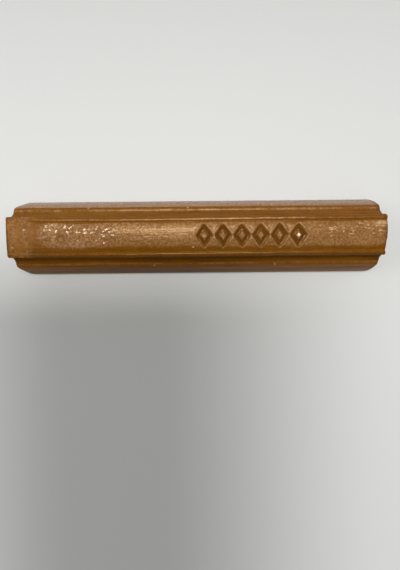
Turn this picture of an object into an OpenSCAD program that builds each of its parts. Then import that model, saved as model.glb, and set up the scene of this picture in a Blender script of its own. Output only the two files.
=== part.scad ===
// Furniture repair wax stick: a moulded bar of pigmented wax, laid on its foot.
// The bar runs along X, its width is along Y and +Z is up.
// The origin is in the middle of the foot.

/* [Bar] */
// Length between the two cut ends
bar_l = 80; // [50:1:120]
// Width across the foot
foot_w = 16.6; // [15:0.2:22]
// Height from the foot to the crest of the crown
bar_h = 10.5; // [9:0.25:14]
// Rounding along the edges of the foot
foot_r = 0.7; // [0.3:0.1:1.5]

/* [Shoulders] */
// Width across the rounded edges of both shoulders
shoulder_w = 13.2; // [12:0.1:14.4]
// Rounding of the edges of the shoulders
shoulder_r = 0.5; // [0.2:0.1:0.8]
// Radius of the bulging sides below the shoulders
side_r = 20; // [12:1:60]
// Radius of the coves that sweep from the band down to the shoulders
cove_r = 3.2; // [2:0.1:5]
// Depth of the centres of the coves below the crest
cove_drop = 1.4; // [1.2:0.1:2.5]

/* [Upper band] */
// Width over the walls of the band
band_w = 8.7; // [7:0.1:10]
// Width of the bead along each edge of the band
bead_w = 1; // [0.5:0.1:1.3]
// Height of the beads above the quirks beside the crown
bead_rise = 0.2; // [0.1:0.05:0.25]
// Rise of the crown from the quirks to its crest
crown_rise = 0.5; // [0.2:0.05:1]

/* [Stamped marks] */
// Number of marks in the row
mark_count = 6; // [1:1:7]
// Distance from one mark to the next
mark_pitch = 3.95; // [3.6:0.05:5]
// Width of a mark, along the bar
mark_w = 3.5; // [2.6:0.1:3.6]
// Height of a mark, across the bar
mark_h = 4.8; // [3.6:0.1:6]
// Width of the strokes that draw a mark
mark_stroke = 0.95; // [0.5:0.05:1.1]
// Depth of the strokes below the crown
mark_depth = 0.5; // [0.2:0.05:1]
// Distance from the middle of the bar to the middle of the row
mark_row_x = 11.5; // [-11:0.5:24]

/* [Crumbs] */
// Radius of the largest crumb that clings to the bar
crumb_r = 0.24; // [0.1:0.02:0.5]

/* [Hidden] */
$fn = 96;

// How far every cut and joint runs past its face
overrun = 1;

// Share of its radius by which a rounding crosses the face it runs into, so that no two faces only touch
cross_share = 0.03;

// Half widths of the band and of its crown
wall_y = band_w / 2;
crown_y = wall_y - bead_w;

// The crown is an arc that starts and ends at the quirks
quirk_z = bar_h - crown_rise;
crown_r = (crown_y * crown_y + crown_rise * crown_rise) / (2 * crown_rise);
crown_c = [0, bar_h - crown_r];

// Centres of the round beads and of the coves
bead_r = bead_w / 2;
bead_c = [wall_y - bead_r, quirk_z + bead_rise - bead_r];
cove_c = [wall_y + cove_r * (1 - cross_share), bar_h - cove_drop];

// The point at distance ra from a and rb from b, on the left of the way from a to b
function meet(a, ra, b, rb) =
    let (gap = norm(b - a))
    let (u = (b - a) / gap)
    let (along = (ra * ra - rb * rb + gap * gap) / (2 * gap))
    a + u * along + [-u.y, u.x] * sqrt(ra * ra - along * along);

function unit(v) = v / norm(v);

// Reach of the rounded edges of the foot and of the shoulders, as far as the faces they cross
foot_reach = foot_r * (1 - cross_share);
shoulder_reach = shoulder_r * (1 - cross_share);

// The rounded edge of a shoulder is centred under the cove
shoulder_y = shoulder_w / 2 - shoulder_r;
cove_gap = cove_r + shoulder_reach;
cove_run = cove_c.x - shoulder_y;
shoulder_c = [shoulder_y, cove_c.y - sqrt(cove_gap * cove_gap - cove_run * cove_run)];
shoulder_crest = shoulder_c + unit(cove_c - shoulder_c) * shoulder_r;

// The arc of a side runs from the rounded edge of the foot to that of the shoulder
foot_c = [foot_w / 2 - foot_r, foot_r];
side_c = meet(foot_c, side_r - foot_reach, shoulder_c, side_r - shoulder_reach);
beside_foot = foot_c + unit(foot_c - side_c) * (foot_r + overrun);
beside_shoulder = shoulder_c + unit(shoulder_c - side_c) * (shoulder_r + overrun);

// Height of the crown over a place y across the bar
function crown_z(y) = crown_c.y + sqrt(crown_r * crown_r - y * y);

// Corners of a mark's centre line: along the bar and across it
mark_x = (mark_w - mark_stroke) / 2;
mark_y = (mark_h - mark_stroke) / 2;
mark_corners = [[mark_x, 0], [0, mark_y], [-mark_x, 0], [0, -mark_y]];

// Ends of the row of marks, and the bare lengths of crown before and after it
row_l = (mark_count - 1) * mark_pitch + mark_w;
row_ends = [mark_row_x - row_l / 2, mark_row_x + row_l / 2];
bare_before = row_ends[0] + bar_l / 2;
bare_after = bar_l / 2 - row_ends[1];

// Crumbs before the row of marks, then after it: share of that bare length from the bar's own end,
// share of half the crown's width, and share of crumb_r
before_shares = [
    [0.030, -0.65, 0.8],
    [0.095, 0.46, 1.0],
    [0.223, 0.43, 0.7],
    [0.244, 0.51, 0.9],
    [0.426, 0.45, 0.8],
    [0.985, -0.70, 0.8],
];
after_shares = [
    [0.433, 0.18, 0.6],
    [0.545, 0.20, 1.0],
    [0.696, 0.17, 0.7],
];

// Crumbs on the crests of the shoulders: share of half the length, side of the bar, and share of crumb_r
shoulder_shares = [
    [-0.590, 1, 0.9],
    [-0.236, -1, 0.8],
    [-0.048, 1, 1.0],
    [0.430, -1, 0.7],
];

// Draws its children on both sides of the bar's middle plane
module both_sides() {
    children();
    mirror([1, 0]) children();
}

// Lower part of the section on one side, from the foot to the level of the shoulder, with a bulging face
module side_body() {
    intersection() {
        translate(side_c) circle(r = side_r, $fn = 4 * $fn);
        polygon([
            [0, foot_c.y],
            foot_c,
            beside_foot,
            beside_shoulder,
            shoulder_c,
            [0, shoulder_c.y],
        ]);
    }
    square(foot_c);
    translate(foot_c) circle(r = foot_r);
    translate(shoulder_c) circle(r = shoulder_r);
}

// Slope from the shoulder up to the band, hollowed by the cove
module coved_slope() {
    difference() {
        translate([0, shoulder_c.y]) square(cove_c - [cove_run, shoulder_c.y]);
        translate(cove_c) circle(r = cove_r, $fn = 2 * $fn);
    }
}

// Wall of the band with a round bead on its upper edge
module beaded_wall() {
    translate([0, shoulder_c.y]) square(bead_c + [bead_r, -shoulder_c.y]);
    translate([0, shoulder_c.y]) square([bead_c.x, quirk_z - shoulder_c.y]);
    translate(bead_c) circle(r = bead_r);
}

module crown() {
    intersection() {
        translate(crown_c) circle(r = crown_r, $fn = 4 * $fn);
        translate([-crown_y, quirk_z - crown_rise])
            square([2 * crown_y, 2 * crown_rise + overrun]);
    }
}

// Section of the bar: across it, then up
module section() {
    both_sides() {
        side_body();
        coved_slope();
        beaded_wall();
    }
    crown();
}

// The bar as it leaves the mould, before it is stamped
module plain_bar() {
    translate([-bar_l / 2, 0, 0])
        rotate([90, 0, 90])
            linear_extrude(height = bar_l) section();
}

// One stroke with round ends
module stroke(from, to) {
    run = to - from;
    translate(from) {
        circle(d = mark_stroke);
        rotate(atan2(run.y, run.x))
            translate([0, -mark_stroke / 2])
                square([norm(run), mark_stroke]);
    }
}

// A plain upright lozenge
module mark() {
    corners = len(mark_corners);
    for (i = [0 : corners - 1])
        stroke(mark_corners[i], mark_corners[(i + 1) % corners]);
}

// What the stamp presses out: the marks, down to a floor that follows the crown
module stamped_marks() {
    difference() {
        translate([0, 0, quirk_z - mark_depth])
            linear_extrude(height = crown_rise + mark_depth + overrun)
                for (i = [0 : mark_count - 1])
                    translate([row_ends[0] + mark_w / 2 + i * mark_pitch, 0]) mark();
        translate([-bar_l / 2, 0, crown_c.y])
            rotate([0, 90, 0])
                cylinder(r = crown_r - mark_depth, h = bar_l, $fn = 4 * $fn);
    }
}

module wax_bar() {
    color("sienna")
        difference() {
            plain_bar();
            stamped_marks();
        }
}

// A round crumb on the crown, at a place along the bar and across it
module crown_crumb(x, y, r) {
    translate([x, y, crown_z(y)]) sphere(r = r);
}

// Rounded crumbs, each bedded on the face of the bar under it
module wax_crumbs() {
    color("peru")
        difference() {
            union() {
                for (share = before_shares)
                    crown_crumb(share[0] * bare_before - bar_l / 2, share[1] * crown_y, share[2] * crumb_r);
                for (share = after_shares)
                    crown_crumb(bar_l / 2 - share[0] * bare_after, share[1] * crown_y, share[2] * crumb_r);
                for (share = shoulder_shares)
                    translate([share[0] * bar_l / 2, share[1] * shoulder_crest.x, shoulder_crest.y])
                        sphere(r = share[2] * crumb_r);
            }
            plain_bar();
        }
}

wax_bar();
wax_crumbs();
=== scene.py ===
import math

import bpy
import mathutils
import numpy as np
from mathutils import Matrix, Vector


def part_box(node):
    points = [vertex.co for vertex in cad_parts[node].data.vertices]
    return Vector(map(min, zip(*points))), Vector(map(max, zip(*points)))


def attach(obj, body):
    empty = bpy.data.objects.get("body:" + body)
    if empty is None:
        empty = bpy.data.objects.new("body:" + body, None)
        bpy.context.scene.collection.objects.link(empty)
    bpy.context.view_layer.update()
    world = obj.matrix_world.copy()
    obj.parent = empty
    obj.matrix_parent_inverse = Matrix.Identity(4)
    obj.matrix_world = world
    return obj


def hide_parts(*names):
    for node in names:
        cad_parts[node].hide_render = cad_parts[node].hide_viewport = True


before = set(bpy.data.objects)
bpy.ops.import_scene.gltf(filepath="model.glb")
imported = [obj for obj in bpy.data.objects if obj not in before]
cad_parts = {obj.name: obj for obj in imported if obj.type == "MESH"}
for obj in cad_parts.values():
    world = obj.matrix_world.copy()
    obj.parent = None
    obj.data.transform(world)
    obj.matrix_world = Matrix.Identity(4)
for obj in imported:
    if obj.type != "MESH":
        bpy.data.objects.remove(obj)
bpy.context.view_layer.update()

# The wax bar: hard wax with pigment, poured into a long mould and broken off at both ends.
# The mould gives its section: a flat foot, bulging sides, coves, and a band with a crown between two beads.
# The row of marks is stamped into the crown while the wax is still soft, so the wax swells up round each one.
MM = 0.001
bar_low, bar_high = (np.array(corner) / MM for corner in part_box("wax_bar"))
bar_length, foot_width, bar_height = bar_high - bar_low
bar_end = bar_length / 2

# Sizes of the section, in millimetres
foot_radius = 0.4
side_radius = 20
shoulder_width = 13.2
shoulder_radius = 0.5
lip_radius = 0.3
lip_rise = 0.15
lip_inset = 0.75
cove_radius = 3.2
cove_centre = np.array([7.45, bar_height - 1.4])
band_width = 8.7
bead_width = 1.15
bead_rise = 0.2
bead_inner_radius = 0.5
bead_outer_radius = 0.77
crown_rise = 0.5
crown_power = 2.6
edge_softness = 0.055

# Spacing of the mesh round the section, at these distances from the crest, and along the bar, at these places
round_places = [0, 2.9, 3.05, 4.3, 4.6, 8.2, 8.4, 9.65, 10.0, 14.4, 14.7, 16.2, 16.8]
round_steps = [0.12, 0.12, 0.085, 0.085, 0.2, 0.2, 0.08, 0.08, 0.42, 0.42, 0.14, 0.14, 1.7]
along_places = [-40, -35, -34.5, -17.5, -17, -1.2, -0.8, 23.8, 24.2, 34, 35, 40]
along_steps = [0.24, 0.24, 0.17, 0.17, 0.36, 0.36, 0.14, 0.14, 0.24, 0.24, 0.22, 0.2]


def arc(centre, radius, start, end):
    """Points of a circle round centre, from one angle to another in degrees, turning from +Y to +Z."""
    turn = np.radians(np.linspace(start, end, 200))
    return centre + radius * np.column_stack([np.cos(turn), np.sin(turn)])


def circles_meet(a, a_radius, b, b_radius):
    """The point at those distances from a and b, on the left of the way from a to b."""
    gap = np.linalg.norm(b - a)
    ahead = (b - a) / gap
    along = (a_radius**2 - b_radius**2 + gap**2) / (2 * gap)
    return a + ahead * along + np.array([-ahead[1], ahead[0]]) * math.sqrt(a_radius**2 - along**2)


def degrees_between(start, end):
    """Direction of the way from start to end, in degrees from +Y to +Z."""
    return math.degrees(math.atan2(end[1] - start[1], end[0] - start[0]))


def half_section():
    """The section from the crest down one side to the middle of the foot, as a chain of curves.

    The crown falls away with a power of the distance from its crest. All the other curves are arcs.
    """
    wall = band_width / 2
    quirk = bar_height - crown_rise
    crown_y = np.linspace(0, wall - bead_width, 200)
    crown_z = bar_height - crown_rise * (crown_y / crown_y[-1])**crown_power
    bead_crest = np.array([wall - bead_outer_radius, quirk + bead_rise])
    bead_turn = 180 - math.degrees(math.asin(1 - bead_rise / bead_inner_radius))
    wall_turn = 180 + math.degrees(math.acos((cove_centre[0] - wall) / cove_radius))
    shoulder_y = shoulder_width / 2 - shoulder_radius
    shoulder_drop = math.sqrt((cove_radius + shoulder_radius)**2 - (cove_centre[0] - shoulder_y)**2)
    shoulder_centre = np.array([shoulder_y, cove_centre[1] - shoulder_drop])
    cove_end = degrees_between(cove_centre, shoulder_centre)
    lip_y = shoulder_width / 2 - lip_inset
    lip_turn = math.acos((lip_y - cove_centre[0]) / cove_radius)
    lip_reach = cove_radius + lip_radius - lip_rise
    lip_centre = cove_centre + lip_reach * np.array([math.cos(lip_turn), -math.sin(lip_turn)])
    lip_start = circles_meet(lip_centre, lip_radius, cove_centre, cove_radius)
    lip_end = circles_meet(cove_centre, cove_radius, lip_centre, lip_radius)
    foot_centre = np.array([foot_width / 2 - foot_radius, foot_radius])
    side_centre = circles_meet(
        foot_centre, side_radius - foot_radius, shoulder_centre, side_radius - shoulder_radius
    )
    shoulder_turn = degrees_between(side_centre, shoulder_centre)
    foot_turn = degrees_between(side_centre, foot_centre)
    return np.concatenate([
        np.column_stack([crown_y, crown_z]),
        arc(bead_crest - [0, bead_inner_radius], bead_inner_radius, bead_turn, 90),
        arc(bead_crest - [0, bead_outer_radius], bead_outer_radius, 90, 0),
        arc(cove_centre, cove_radius, wall_turn, 360 + degrees_between(cove_centre, lip_start)),
        arc(lip_centre, lip_radius,
            degrees_between(lip_centre, lip_start), degrees_between(lip_centre, lip_end)),
        arc(cove_centre, cove_radius, degrees_between(cove_centre, lip_end), cove_end),
        arc(shoulder_centre, shoulder_radius, cove_end + 180, shoulder_turn),
        arc(side_centre, side_radius, shoulder_turn, foot_turn),
        arc(foot_centre, foot_radius, foot_turn, -90),
        [[0, 0]],
    ])


def mirrored(places, steps):
    """The same steps on both sides of the crest."""
    return np.concatenate([-np.array(places[:0:-1]), places]), np.concatenate([steps[:0:-1], steps])


def spaced(start, end, places, steps):
    """Places from start to end, as far apart as steps says: equal shares of the running sum of 1 / step."""
    fine = np.linspace(start, end, 8001)
    count = np.concatenate([[0], np.cumsum(np.diff(fine) / np.interp(fine[1:], places, steps))])
    return np.interp(np.linspace(0, count[-1], round(count[-1]) + 1), count, fine)


def whole_section():
    """Distances round the section from the crest, with its points and outward normals as Y + iZ.

    Both halves are joined into one loop, from the middle of the foot over the crest and back.
    The loop's Fourier terms are damped as by a Gaussian blur, which softens its corners.
    They also give the direction of the loop, and so its normals.
    """
    half = half_section() @ np.array([1, 1j])
    loop = np.concatenate([-half[::-1].conj(), half[1:]])
    length = np.concatenate([[0], np.cumsum(abs(np.diff(loop)))])
    count = 8192
    even = np.linspace(0, length[-1], count, endpoint=False)
    terms = np.fft.fft(np.interp(even, length, loop))
    pace = 2 * math.pi * np.fft.fftfreq(count, length[-1] / count)
    terms = terms * np.exp(-(pace * edge_softness)**2 / 2)
    soft = np.fft.ifft(terms)
    normal = 1j * np.fft.ifft(1j * pace * terms)
    places = spaced(-length[-1] / 2, length[-1] / 2, *mirrored(round_places, round_steps))[:-1]
    read = places + length[-1] / 2
    return places, np.interp(read, even, soft), np.interp(read, even, normal / abs(normal))


around, section, outward = whole_section()
section_y, section_z = section.real, section.imag

# Distance from the middle plane, and which points lie on the band's top and on the coves with the shoulders
aside = abs(section_y)
on_top = section_z > 9
on_coves = section_z > 5.7


def smooth(start, end, value):
    """0 up to start, 1 from end on, and an S-shaped cubic between them."""
    share = np.clip((value - start) / (end - start), 0, 1)
    return share * share * (3 - 2 * share)


def hump(middle, width, value):
    """1 at the middle, falling off to both sides as a Gaussian of that width."""
    return np.exp(-((value - middle) / width)**2)


def noise(a, b, seed):
    """Random values from -1 to 1 at whole numbers of a and b, with S-shaped steps between them."""
    size = 512
    lattice = np.random.default_rng(seed).uniform(-1, 1, (size, size))
    a, b = np.broadcast_arrays(a, b)
    a_cell, b_cell = np.floor(a).astype(int), np.floor(b).astype(int)
    a_share, b_share = smooth(0, 1, a - a_cell), smooth(0, 1, b - b_cell)
    a_low, a_high, b_low, b_high = (cell % size for cell in (a_cell, a_cell + 1, b_cell, b_cell + 1))
    low = lattice[a_low, b_low] * (1 - a_share) + lattice[a_high, b_low] * a_share
    high = lattice[a_low, b_high] * (1 - a_share) + lattice[a_high, b_high] * a_share
    return low * (1 - b_share) + high * b_share


# The stamped row: upright lozenges, drawn by a round-ended stroke through these corners
mark_count = 6
mark_pitch = 3.95
mark_row_x = 11.5
mark_x, mark_y = 1.275, 1.925
stroke_half = 0.475
stamp_floor = bar_height - 0.5
stamp_least = 0.15
lip_height = 0.08

# Places on the crown: a ring crater, the island of wax in the last mark, and the left edge of the lumpy patch
crater_x, crater_y = -28.4, -0.4
island_x, island_y = 21.4, -0.2
patch_edge = -33.6 + 0.25 * (section_y - 0.6)**2


def from_stroke(x, y):
    """Distance from the nearest mark's centre line.

    It is the distance to one straight edge, as all four quarters of a lozenge are alike.
    """
    first = mark_row_x - mark_pitch * (mark_count - 1) / 2
    index = np.clip(np.round((x - first) / mark_pitch), 0, mark_count - 1)
    a, b = abs(x - first - index * mark_pitch), abs(y)
    share = np.clip(((mark_x - a) * mark_x + b * mark_y) / (mark_x**2 + mark_y**2), 0, 1)
    return np.hypot(a - mark_x * (1 - share), b - mark_y * share)


def stamped(x):
    """How deep the stamp has sunk each point, from 0 to 1, and how far the wax round it has swollen up."""
    distance = from_stroke(x, section_y)
    sunk = on_top * smooth(stroke_half + 0.05, stroke_half - 0.08, distance)
    swollen = on_top * hump(stroke_half + 0.34, 0.17, distance)
    return sunk, swollen


def lumpy(x):
    """Where the crown cooled unevenly: a patch left of the middle, round at its left end."""
    across = on_top * smooth(3.1, 2.3, aside)
    along = smooth(patch_edge, patch_edge + 1.2, x) * smooth(-16, -20, x)
    return across * along * np.clip(0.85 + 0.5 * noise(x / 3.1, section_y / 2.2, 11), 0, 1)


def scuffed(x):
    """Short scratches along the crown's right end, from 0 to 1: how near each point is to the nearest one.

    Each scratch is a straight line. Away from it the share falls off as a Gaussian.
    """
    draw = np.random.default_rng(12)
    count = 44
    scratch_x = 39.6 - 12.5 * draw.uniform(0, 1, count)**1.4
    scratch_y = 1.15 + 0.045 * (scratch_x - 33) + draw.normal(0, 0.65, count)
    turn = np.radians(draw.normal(0, 22, count))
    half = draw.uniform(0.06, 0.4, count)
    near = np.zeros(np.broadcast(x, section_y).shape)
    right = np.nonzero(x[:, 0] > 25)[0]
    away_x = x[right][..., None] - scratch_x
    away_y = section_y[:, None] - scratch_y
    along = np.cos(turn) * away_x + np.sin(turn) * away_y
    across = np.cos(turn) * away_y - np.sin(turn) * away_x
    distance = np.hypot(np.maximum(abs(along) - half, 0), across)
    near[right] = on_top * hump(0, 0.085, distance).max(axis=-1)
    return near


def relief(x):
    """How far each point stands out of the plain section.

    It is a sum: slow waves, wavering beads, lumps and scratches, a shallow crater with a raised ring,
    a tipped dome on the island, and a lip round the marks. Where the stamp has sunk, its floor takes
    the sum's place.
    """
    sunk, swollen = stamped(x)
    waves = 0.028 * noise(x / 6.5, around / 2.6, 1) + 0.010 * noise(x / 1.4, around / 0.8, 2) - 0.03
    on_beads = smooth(3.3, 3.7, abs(around)) * smooth(5.0, 4.4, abs(around))
    beads = 0.045 * on_beads * noise(x / 2.2, around / 9, 3)
    from_crater = np.hypot(x - crater_x, section_y - crater_y)
    lumps = 0.085 * noise(x / 0.62, around / 0.5, 4) + 0.028 * noise(x / 0.36, around / 0.29, 5)
    lumps = (lumpy(x) * lumps + 0.045 * scuffed(x)) * smooth(0.9, 1.4, from_crater)
    crater = 0.02 * hump(0.85, 0.25, from_crater) - 0.025 * smooth(0.8, 0.4, from_crater)
    from_island = np.hypot(x - island_x, section_y - island_y)
    tipped = 0.05 + 0.135 * (x - island_x) - 0.1 * (section_y - island_y) - 0.1 * from_island**2
    dome = tipped * smooth(0.8, 0.55, from_island)
    grounded = smooth(0.15, 1.2, section_z)
    plain = grounded * (waves + beads + lumps) + on_top * (crater + dome) + lip_height * swollen
    return plain * (1 - sunk) - np.maximum(section_z - stamp_floor, stamp_least) * sunk


def bar_skin(x, inset):
    """Points of the bar at places x along it: the section, moved out by its relief and in by inset.

    The band's edges sway from side to side along the bar, and lie further in where the mould pulled.
    Towards the left end the beads and the crown flatten out, and the foot's corners are rounded in plan.
    """
    out = relief(x) - inset
    sway = 0.07 * smooth(3.0, 3.4, aside) * (section_z > 5.9) * noise(x / 2.8, np.sign(section_y) * 3.5, 16)
    pulled = np.interp(x, [-40, -14, 6, 30], [0, 0.2, 0.12, 0.06])
    sway = sway - pulled * smooth(2.4, 3.2, aside) * smooth(8.0, 9.0, section_z)
    y = section_y + sway + outward.real * out
    z = section_z + outward.imag * out
    flat = smooth(-33.5, -37.5, x) * smooth(9.45, 9.85, section_z)
    flat_z = bar_height - 0.33 - 0.25 * (abs(y) / (band_width / 2))**4
    z = z + 0.8 * flat * (flat_z - z)
    low = smooth(6.2, 2.5, section_z)
    left_corner = np.clip(1 - (x + bar_end) / 2.0, 0, 1)
    right_corner = np.clip(1 - (bar_end - x) / 0.4, 0, 1)
    drawn_in = 0.65 * (1 - np.sqrt(1 - left_corner**2)) + 0.12 * (1 - np.sqrt(1 - right_corner**2))
    y = y * (1 - low * drawn_in / (foot_width / 2))
    return np.stack(np.broadcast_arrays(x, y, z), axis=-1)


# Rows of the mesh on each end face and round its rim
face_rows = 9
rim_rows = 6


def bar_cap(side, set_back, rim):
    """Rows of points from near the middle of an end face out to its rim, and round the rim on to the skin.

    The face lies set_back inside the end. Its rows are the rim's loop, drawn in towards a middle point.
    """
    turn = np.radians(np.linspace(0, 75, rim_rows))[:, None]
    x = bar_end - set_back - rim * (1 - np.cos(turn))
    skin = bar_skin(side * x, rim * (1 - np.sin(turn)))
    share = np.linspace(0.08, 0.92, face_rows)[:, None, None]
    middle = np.array([side * (bar_end - 0.35), 0, 5.2])
    face = middle + share * (skin[0] - middle)
    face_y, face_z = face[..., 1], face[..., 2]
    rough = 0.12 * noise(face_y / 1.1, face_z / 1.1, 6) + 0.06 * noise(face_y / 0.4, face_z / 0.4, 7)
    face[..., 0] -= side * (0.1 + rough) * smooth(1, 0.8, share[..., 0])
    return middle, np.concatenate([face, skin])


def bar_grid():
    """The bar's two middle points and its rows from the left end to the right end.

    The left end is nearly straight. The right end is torn along the band, where its back half stands proud.
    """
    left_back = 0.03 * (1 + noise(around / 2.5, 0.5, 8)) / 2
    left_rim = 0.3 + 0.1 * smooth(8, 5, section_z)
    on_band = section_z > 9.4
    torn = 0.13 + 0.08 * noise(around / 1.1, 0.5, 9) + 0.05 * noise(around / 0.4, 0.5, 10)
    torn = torn * (0.2 + 0.8 * smooth(8.0, 9.5, section_z))
    drawn = 0.08 * smooth(-1.2, -2.4, section_y) * smooth(-4.5, -3.9, section_y) * on_band
    proud = smooth(-1.6, -0.2, section_y) * smooth(4.3, 3.9, section_y) * on_band
    right_back = np.clip((torn + drawn) * (1 - proud), 0, 1)
    right_rim = np.full_like(around, 0.14)
    left_middle, left = bar_cap(-1, left_back, left_rim)
    right_middle, right = bar_cap(1, right_back, right_rim)
    along = spaced(-bar_end + 0.6, bar_end - 1.0, along_places, along_steps)[:, None]
    body = bar_skin(along + 0 * around, 0)
    return np.stack([left_middle, right_middle]), np.concatenate([left, body, right[::-1]])


def closed_faces(rows, columns, copies=1):
    """Faces of a grid that is closed round each row.

    They are quads between the rows, and triangles to one point at either end. In the list of points the
    two end points come first, and then the rows. The points of the next copy follow these.
    """
    index = 2 + np.arange(rows * columns).reshape(rows, columns)
    after = np.roll(index, -1, axis=1)
    quads = np.stack([index[:-1], index[1:], after[1:], after[:-1]], axis=-1).reshape(-1, 4)
    first = np.stack([np.zeros_like(index[0]), index[0], after[0]], axis=-1)
    last = np.stack([np.ones_like(index[0]), after[-1], index[-1]], axis=-1)
    triangles = np.concatenate([first, last])
    shift = (2 + rows * columns) * np.arange(copies)[:, None, None]
    return (quads + shift).reshape(-1, 4).tolist() + (triangles + shift).reshape(-1, 3).tolist()


def stand_in(name, points, faces, node):
    """A smooth mesh of points in millimetres, that stands for a CAD node."""
    mesh = bpy.data.meshes.new(name)
    mesh.from_pydata((points * MM).tolist(), [], faces)
    mesh.shade_smooth()
    piece = bpy.data.objects.new(name, mesh)
    bpy.context.scene.collection.objects.link(piece)
    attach(piece, "root")
    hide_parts(node)
    return piece


def paint(piece, name, values):
    """Keeps one number for each point of a piece, for its material to read."""
    layer = piece.data.attributes.new(name, "FLOAT", "POINT")
    layer.data.foreach_set("value", np.ascontiguousarray(values, dtype=np.float32))


def paint_bar(name, on_skin, on_ends):
    """Paints the bar's skin point by point, and its two broken end faces all over with one number."""
    values = np.broadcast_to(on_skin, bar_rows.shape[:2]).copy()
    values[:face_rows] = values[-face_rows:] = on_ends
    paint(bar, name, np.concatenate([[on_ends, on_ends], values.ravel()]))


def highest(*layers):
    """The highest of several layers at each point."""
    return np.max(np.broadcast_arrays(*layers), axis=0)


bar_middles, bar_rows = bar_grid()
bar_points = np.concatenate([bar_middles, bar_rows.reshape(-1, 3)])
bar = stand_in("moulded_bar", bar_points, closed_faces(*bar_rows.shape[:2]), "wax_bar")

# Where the features of the skin lie: the stamp, the crater, the island, the broken rims, the rough left end,
# the strip of painted shade beside the front bead, the outer faces and the edges
row_x = bar_rows[..., 0]
bar_sunk, bar_swollen = stamped(row_x)
bar_lumpy = lumpy(row_x)
stamp_rim = on_top * hump(stroke_half + 0.09, 0.085, from_stroke(row_x, section_y)) * (1 - bar_sunk)
from_crater = np.hypot(row_x - crater_x, section_y - crater_y)
# A ring of painted shade in the crater, inside its raised ring
crater_shade_ring = on_top * hump(0.7, 0.17, from_crater)
from_island = np.hypot(row_x - island_x, section_y - island_y)
island = on_top * smooth(0.7, 0.45, from_island) * (1 - bar_sunk)
ragged = 0.3 + 0.25 * (row_x > 0) * (1 + noise(section_y / 0.45, 0.5, 18))
broken = smooth(bar_end - ragged - 0.15, bar_end - ragged + 0.1, abs(row_x))
grit = on_top * smooth(-33, -36, row_x)
# Painted shade on the crown's front roll beside the front bead, which turns away from the lamps
shaded_strip = on_top * smooth(-2.0, -2.6, section_y) * smooth(-3.5, -3.2, section_y) * smooth(-31, -25, row_x)
front_side = smooth(-6.3, -6.6, section_y)
back_side = smooth(6.3, 6.6, section_y)
# Painted shade along the foot's edge, where the bar meets the table
foot_edge_shade = smooth(0.9, 0.3, section_z)
# Painted shade in the groove outside each lip, darker on the front
shoulder_shade = np.where(section_y < 0, 0.6, 0.3) * hump(6.4, 0.16, aside) * (section_z > 4.5)

# Scratches near the right end, partly real scuffs and partly painted glints, with a pale patch painted at the
# very end; and painted highlights along the crests of the beads and lips and round the marks' rims
pale_end_patch = on_top * hump(38.8, 1.7, row_x) * hump(2.4, 0.45, section_y)
pale_end_patch = pale_end_patch * np.clip(0.6 + 0.5 * noise(row_x / 0.6, section_y / 0.25, 20), 0, 1)
scratches = highest(scuffed(row_x), pale_end_patch)
bead_length = on_top * smooth(-36, -32, row_x)
back_bead = hump(3.6, 0.16, section_y) * bead_length * (0.4 + 0.6 * smooth(32, 26, row_x))
front_bead = hump(-3.58, 0.13, section_y) * bead_length
back_lip = on_coves * hump(5.8, 0.3, section_y)
front_lip = on_coves * hump(-5.95, 0.17, section_y)
uneven = 0.65 + 0.35 * noise(row_x / 2.2, section_y / 2, 15) + 0.4 * noise(row_x / 0.6, section_y / 2, 17)
# Painted highlights along the crests, uneven along the bar
crests = (back_bead + 0.32 * front_bead + back_lip + 0.5 * front_lip) * np.clip(uneven, 0, 1)
highlights_and_scuffs = highest(crests, 0.6 * stamp_rim, scratches)

# The bloom and painted sheen: partly a hazy skin on the crown, thickest on the lumpy patch, and partly a
# painted sheen and highlight where the lamp above shines back, strongest on a band left of the middle
wavering_y = section_y + 0.25 * noise(row_x / 3, 0.5, 14)
forward = np.interp(row_x, [-31, -24], [0.6, 0.35])
# The painted sheen stops short of the crown's front roll, which is left dark as painted shade
crown_sheen_area = on_top * smooth(-2.3, -1.4, wavering_y + forward) * smooth(3.05, 2.7, wavering_y)
along_bloom_and_sheen = np.interp(
    row_x, [-33, -28, -20, -17, -4, 0, 40], [0.78, 0.75, 0.74, 0.60, 0.55, 0.58, 0.54])
along_bloom_and_sheen = along_bloom_and_sheen * (0.2 + 0.8 * smooth(patch_edge - 0.6, patch_edge + 1.4, row_x))
# A painted highlight on a band behind the crest, left of the middle
painted_highlight_band = 1 + 0.35 * hump(2.0, 0.75, section_y) * smooth(-22, -17, row_x) * smooth(-1, -6, row_x)
uneven_haze = 0.85 + 0.15 * noise(row_x / 8, section_y / 3, 13)
lumpy_haze = 1 + 0.3 * bar_lumpy * noise(row_x / 1.2, section_y / 0.8, 19)
# Painted sheen across the crown: weaker on its flat middle, stronger towards the back, where the lamp shines
# back
across_painted_sheen = np.interp(section_y, [-1, 0.8, 2.2], [1, 0.86, 1.08])
crown_bloom_and_sheen = crown_sheen_area * along_bloom_and_sheen * painted_highlight_band * (1 - bar_sunk) * uneven_haze * lumpy_haze * across_painted_sheen
smears = 0.2 + 0.24 * noise(row_x / 0.7, section_y / 2.6, 23)
smears = smears + 0.14 * noise(row_x / 0.32, section_y / 0.5, 24)
# A painted reflection of the pale table on the back side
painted_side_reflection = 0.35 * back_side * smooth(0.8, 3.5, section_z)
bloom_and_sheen = highest(crown_bloom_and_sheen, 0.6 * highlights_and_scuffs, 1.3 * scratches, np.clip(smears, 0, 1) * grit, painted_side_reflection)
bloom_and_sheen = bloom_and_sheen * (1 - 0.75 * crater_shade_ring) * (1 - 0.8 * broken)

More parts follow.
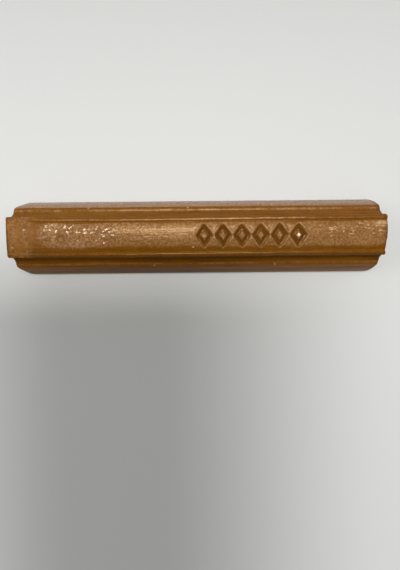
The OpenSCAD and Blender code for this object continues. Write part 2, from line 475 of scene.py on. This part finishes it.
# Darker wax. The marks' floors are partly bare fresh wax and partly painted shade in the recesses, and the
# broken rims are partly bare broken wax and partly painted shade on the turned edge. The rest is painted
# shade: a little in both coves, and more on the front faces, which turn away from the lamps, along the foot's
# edge, in the groove outside each lip, on the strip beside the front bead and round the crater
coves = on_coves * smooth(4.0, 4.35, aside) * smooth(6.2, 5.9, aside) * (1 - highlights_and_scuffs)
# Painted shade on the front cove, wall and bead
front_shade = np.interp(section_y, [-6, -5, -4.3, -3.8, -3.4, -3.2], [0.3, 0.5, 1.0, 0.65, 0.45, 0.2])
front_shade = front_shade * (section_y > -6.2) * on_coves
shaded = highest(front_shade * (1 - 0.6 * highlights_and_scuffs), 0.15 * coves) + 0.3 * front_side
shaded = highest(shaded, 0.3 * shaded_strip * (1 - bloom_and_sheen), shoulder_shade) + 0.5 * crater_shade_ring
fresh_and_shaded = highest(bar_sunk, 0.8 * broken, shaded, 0.7 * foot_edge_shade)

# Gloss on what stands proud, ribs that the mould drew along the sides, and faces with no shine of their own
gloss = bar_lumpy * smooth(0.9, 1.3, from_crater) + scratches + 0.12 * highlights_and_scuffs
gloss = np.clip(gloss + 0.2 * bar_swollen * (1 - bar_sunk) + 2 * island, 0, 2)
ribs = highest(smooth(6.3, 6.6, aside), 0.35 * coves)
cove_matte = np.where(section_y < 0, 0.85, 0.6) * coves
matte = highest(cove_matte, 0.35 * shaded_strip, 0.2 * front_side, 0.8 * broken, 0.8 * foot_edge_shade)
dull = highest(smooth(-4.1, -4.5, section_y) * (1 - highlights_and_scuffs), 0.4 * grit)

paint_bar("bloom_and_sheen", bloom_and_sheen, 0.12)
paint_bar("gloss", gloss, 0)
paint_bar("crest", highlights_and_scuffs, 0)
paint_bar("fresh_and_shaded", fresh_and_shaded, 0.4)
paint_bar("ribs", ribs, 0)
paint_bar("matte", matte, 0.8)
paint_bar("scuff_and_glint", scratches, 0)
paint_bar("grit", grit, 0.6)
paint_bar("dull", dull, 0.4)


class Wire:
    """An output socket of a material. Sums and products of wires and numbers lay down Math nodes."""

    def __init__(self, tree, socket=None):
        self.tree = tree
        self.socket = socket

    def node(self, kind, settings, sockets, output=0):
        """Adds a node with these settings, and values or links in its sockets, and returns one output."""
        made = self.tree.nodes.new("ShaderNode" + kind)
        for name, value in settings.items():
            setattr(made, name, value)
        for name, value in sockets.items():
            if isinstance(value, Wire):
                self.tree.links.new(value.socket, made.inputs[name])
            else:
                made.inputs[name].default_value = value
        return Wire(self.tree, made.outputs[output])

    def feed(self, shader, name):
        """Links this wire to a socket of the shader."""
        self.tree.links.new(self.socket, shader.inputs[name])

    def math(self, operation, a, b):
        """One Math node."""
        return self.node("Math", {"operation": operation}, {0: a, 1: b})

    def __add__(self, other):
        return self.math("ADD", self, other)

    def __sub__(self, other):
        return self.math("SUBTRACT", self, other)

    def __rsub__(self, other):
        return self.math("SUBTRACT", other, self)

    def __mul__(self, other):
        return self.math("MULTIPLY", self, other)

    __radd__ = __add__
    __rmul__ = __mul__

    def blend(self, low, high):
        """The colour that lies between two others by this wire's share."""
        return self.node("Mix", {"data_type": "RGBA"}, {0: self, 6: low, 7: high}, 2)


# The darker wax colour serves both bare fresh wax and painted shade. The two bloom colours serve both the
# hazy skin and painted sheen and highlights. The scuff colour serves both pale scuffs and painted glints.
deep_wax = (0.252, 0.0895, 0.006, 1)
fresh_and_shaded_wax = (0.136, 0.046, 0.0006, 1)
thin_bloom_and_sheen = (0.335, 0.171, 0.067, 1)
thick_bloom_and_sheen = (0.55, 0.326, 0.157, 1)
scuff_and_glint_wax = (0.74, 0.47, 0.23, 1)

wax = bpy.data.materials.new("wax")
wax.use_nodes = True
wax_shader = wax.node_tree.nodes["Principled BSDF"]
wax_tree = Wire(wax.node_tree)

# Patterns that run through the wax: grain, clouds, and streaks drawn out along the bar or across it
place = wax_tree.node("TexCoord", {}, {}, "Object")
lengthwise = wax_tree.node("VectorMath", {"operation": "MULTIPLY"}, {0: place, 1: (0.05, 1, 1)})
crosswise = wax_tree.node("VectorMath", {"operation": "MULTIPLY"}, {0: place, 1: (1, 0.12, 1)})
grain, cloud, streak, ridge, smear = (
    wax_tree.node("TexNoise", {}, {"Vector": vector, "Scale": scale, "Detail": detail}) - 0.5
    for vector, scale, detail in (
        (place, 2300, 1), (place, 330, 3), (lengthwise, 2600, 2), (lengthwise, 700, 3), (crosswise, 1500, 2),
    )
)
bloom_and_sheen_at, gloss_at, crest_highlight_at, fresh_and_shaded_at, ribs_at, matte_at, scuff_and_glint_at, grit_at, dull_at = (
    wax_tree.node("Attribute", {"attribute_name": name}, {}, "Fac")
    for name in ("bloom_and_sheen", "gloss", "crest", "fresh_and_shaded", "ribs", "matte", "scuff_and_glint", "grit", "dull")
)

# Colour: bare wax, darker where it is fresh and where shade is painted, under bloom and painted sheen of
# uneven thickness, and under pale scuffs and painted glints
shade = 0.72 + cloud * (0.6 + grit_at * 2.4) + streak * 0.9 + ridge * ribs_at * 4.8
shade = shade + grain * (0.9 + grit_at * 1.6) + smear * grit_at * 3.0 - fresh_and_shaded_at * 0.66
# The frost leans to the thicker colour on the crests, as a painted highlight
frost_and_highlight = 0.42 + cloud + grain * 3.5 + crest_highlight_at * 0.6
bare = shade.blend(fresh_and_shaded_wax, deep_wax)
colour = (bloom_and_sheen_at * (0.78 + grain * 0.7)).blend(bare, frost_and_highlight.blend(thin_bloom_and_sheen, thick_bloom_and_sheen))
colour = (scuff_and_glint_at * (0.55 + grain)).blend(colour, scuff_and_glint_wax)
colour.feed(wax_shader, "Base Color")

# Finish: smoother where it is glossy and on the fresh wax with its painted shade, with a coat on the glossy
# lumps and fine bumps elsewhere
(0.27 - gloss_at * 0.13 - fresh_and_shaded_at * 0.15 + dull_at * 0.3 + cloud * 0.06).feed(wax_shader, "Roughness")
(gloss_at * 0.55).feed(wax_shader, "Coat Weight")
height = grain * (0.3 + bloom_and_sheen_at * 0.45 + grit_at * 0.6) * (1 - ribs_at * 0.8)
height = height + streak * (1 - bloom_and_sheen_at) * 0.7 + ridge * ribs_at * 2.5
height = height * (1 - fresh_and_shaded_at) * (1 - crest_highlight_at) * (1 - gloss_at * 0.4)
bumps = wax_tree.node("Bump", {}, {"Strength": 1, "Distance": 0.0001, "Height": height})
bumps.feed(wax_shader, "Normal")
wax_shader.inputs["Specular IOR Level"].default_value = 0.42
wax_shader.inputs["Specular Tint"].default_value = (1.0, 0.7, 0.38, 1)
wax_shader.inputs["Coat Roughness"].default_value = 0.16
wax_shader.inputs["Subsurface Weight"].default_value = 0.25
wax_shader.inputs["Subsurface Radius"].default_value = (1.0, 0.4, 0.12)
wax_shader.inputs["Subsurface Scale"].default_value = 0.0012

# The same wax with no shine at all, mixed in by the share of each matte face
shiny = Wire(wax.node_tree, wax_shader.outputs[0])
shineless = wax_tree.node("BsdfPrincipled", {}, {
    "Base Color": colour, "Normal": bumps, "Roughness": 1.0, "Specular IOR Level": 0.0})
surface = wax_tree.node("MixShader", {}, {0: matte_at, 1: shiny, 2: shineless})
surface.feed(wax.node_tree.nodes["Material Output"], "Surface")
bar.data.materials.append(wax)

# The crumbs: scraps of the same wax that cling to the crown and to the crests of the shoulders.
# They are ragged grains a fifth of a millimetre high, each one bedded on the face under it.
crumb_places = np.array([
    (-38.80, -2.18), (-36.21, 1.54), (-31.11, 1.44), (-30.27, 1.71), (-23.01, 1.51), (-0.72, -2.35),
    (32.69, 0.60), (30.80, 0.67), (28.25, 0.57),
    (-23.60, 6.24), (-9.44, -6.24), (-1.92, 6.24), (17.20, -6.24),
])
crumb_radii = np.array([0.19, 0.24, 0.17, 0.21, 0.19, 0.19, 0.14, 0.23, 0.17, 0.21, 0.19, 0.23, 0.17])
crumb_count = len(crumb_places)
crumb_rows, crumb_columns = 7, 12


def crumb_beds():
    """Height of the bar's skin under each crumb: that of the nearest point on its upper faces."""
    upper = bar_points[bar_points[:, 2] > 5.5]
    away = np.hypot(upper[:, 0] - crumb_places[:, :1], upper[:, 1] - crumb_places[:, 1:])
    return upper[np.argmin(away, axis=1), 2]


def crumb_grid():
    """One grid of points for each crumb: a ball with dents, longer along the bar than across it, and low.

    Its rows run from the lowest ring to the highest, and the first two points of each crumb are its ends.
    """
    rise = np.linspace(-math.pi / 2, math.pi / 2, crumb_rows + 2)[:, None]
    turn = np.linspace(0, 2 * math.pi, crumb_columns, endpoint=False)
    ball = np.stack(np.broadcast_arrays(
        np.cos(rise) * np.cos(turn), np.cos(rise) * np.sin(turn), np.sin(rise)), axis=-1)
    draw = np.random.default_rng(21)
    seeds = draw.uniform(0, 400, (crumb_count, 1, 1))
    dents = 1 + 0.28 * noise(seeds + 1.3 * ball[..., 0] + 1.7 * ball[..., 2], 1.5 * ball[..., 1], 22)
    stretch = np.stack([draw.uniform(0.8, 1.25, crumb_count), draw.uniform(0.65, 0.95, crumb_count),
                        draw.uniform(0.55, 0.85, crumb_count)], axis=-1)
    grains = ball * dents[..., None] * (crumb_radii[:, None] * stretch)[:, None, None, :]
    grains = grains + np.column_stack([crumb_places, crumb_beds()])[:, None, None, :]
    ends = np.stack([grains[:, 0].mean(axis=1), grains[:, -1].mean(axis=1)], axis=1)
    return np.concatenate([ends, grains[:, 1:-1].reshape(crumb_count, -1, 3)], axis=1)


crumb_points = crumb_grid().reshape(-1, 3)
crumb_faces = closed_faces(crumb_rows, crumb_columns, crumb_count)
crumbs = stand_in("clinging_crumbs", crumb_points, crumb_faces, "wax_crumbs")
# The crumbs are painted pale and glossy all over: partly pale scraps of wax, partly painted glints
for layer_name, share in {"bloom_and_sheen": 1.4, "gloss": 0.8, "crest": 1.0, "scuff_and_glint": 1.0}.items():
    paint(crumbs, layer_name, np.full(len(crumb_points), share))
crumbs.data.materials.append(wax)

# The table: a plain pale laminate top, on which the bar lies loose.
# It is wide enough that its edges stay out of every view.
table_half = 3.0


def flat_sheets(name, rectangles, material_name, colour, roughness):
    """Level rectangles of one plain material.

    Each rectangle is given as its left, right, near and far edge and its height.
    """
    left, right, near, far, level = np.array(rectangles).T
    corners = np.stack([(left, near, level), (right, near, level), (right, far, level), (left, far, level)])
    mesh = bpy.data.meshes.new(name)
    mesh.from_pydata(
        corners.transpose(2, 0, 1).reshape(-1, 3).tolist(), [],
        np.arange(corners.shape[0] * len(rectangles)).reshape(-1, 4).tolist())
    material = bpy.data.materials.new(material_name)
    material.use_nodes = True
    shader = material.node_tree.nodes["Principled BSDF"]
    shader.inputs["Base Color"].default_value = colour
    shader.inputs["Roughness"].default_value = roughness
    mesh.materials.append(material)
    sheets = bpy.data.objects.new(name, mesh)
    bpy.context.scene.collection.objects.link(sheets)
    return sheets


table_top = (-table_half, table_half, -table_half, table_half, 0)
table = flat_sheets("table", [table_top], "laminate", (0.775, 0.78, 0.76, 1), 0.6)

# The light: oval soft lamps in a dim pale room, one above, behind the bar, and one low down at each end.
# Two dark cards that the camera doesn't see shade the table: one close above the lens, for the near side,
# and a strip high behind the bar, for the far side.
lamp_distance = 0.8


def soft_lamp(name, bearing, lean, depth, width, power):
    """An oval lamp aimed at the bar, with these two axes.

    Its bearing is in degrees from +X to +Y, and its lean in degrees from straight up.
    """
    data = bpy.data.lights.new(name, "AREA")
    data.shape = "ELLIPSE"
    data.size = depth
    data.size_y = width
    data.energy = power
    lamp = bpy.data.objects.new(name, data)
    turn = mathutils.Euler((0, math.radians(lean), math.radians(bearing)))
    lamp.location = turn.to_matrix() @ mathutils.Vector((0, 0, lamp_distance))
    lamp.rotation_euler = turn
    bpy.context.scene.collection.objects.link(lamp)


soft_lamp("upper_lamp", 90, 13, 0.15, 0.4, 3.8)
soft_lamp("left_lamp", 168, 48, 0.55, 0.55, 1.5)
soft_lamp("right_lamp", 14, 60, 0.55, 0.55, 0.6)

lens_card = (-0.054, 0.0175, -0.14, 0.0155, 0.1)
far_strip = (-0.17, 0.17, 0.132, 0.2, 0.4)
card = flat_sheets("card", [lens_card, far_strip], "board", (0.03, 0.03, 0.03, 1), 0.5)
card.visible_camera = False

room = bpy.data.worlds.new("room")
room.use_nodes = True
room.node_tree.nodes["Background"].inputs["Color"].default_value = (1.0, 1.0, 0.98, 1)
room.node_tree.nodes["Background"].inputs["Strength"].default_value = 0.285
bpy.context.scene.world = room
bpy.context.scene.view_settings.view_transform = "Standard"

# The camera: held by hand close above the bar, a little in front of it and tipped back towards the viewer.
# Its place and its focal length, in pixels, follow from the perspective of the photograph.
image_height = 570
focal_pixels = 401
sensor = 36
camera_data = bpy.data.cameras.new("camera")
camera_data.sensor_width = sensor
camera_data.lens = sensor * focal_pixels / image_height
camera_data.clip_start = 0.005
camera = bpy.data.objects.new("camera", camera_data)
camera.location = (0.69 * MM, -2.6 * MM, 94.9 * MM)
camera.rotation_euler = (math.radians(-5.25), 0, math.radians(-0.55))
bpy.context.scene.collection.objects.link(camera)
bpy.context.scene.camera = camera
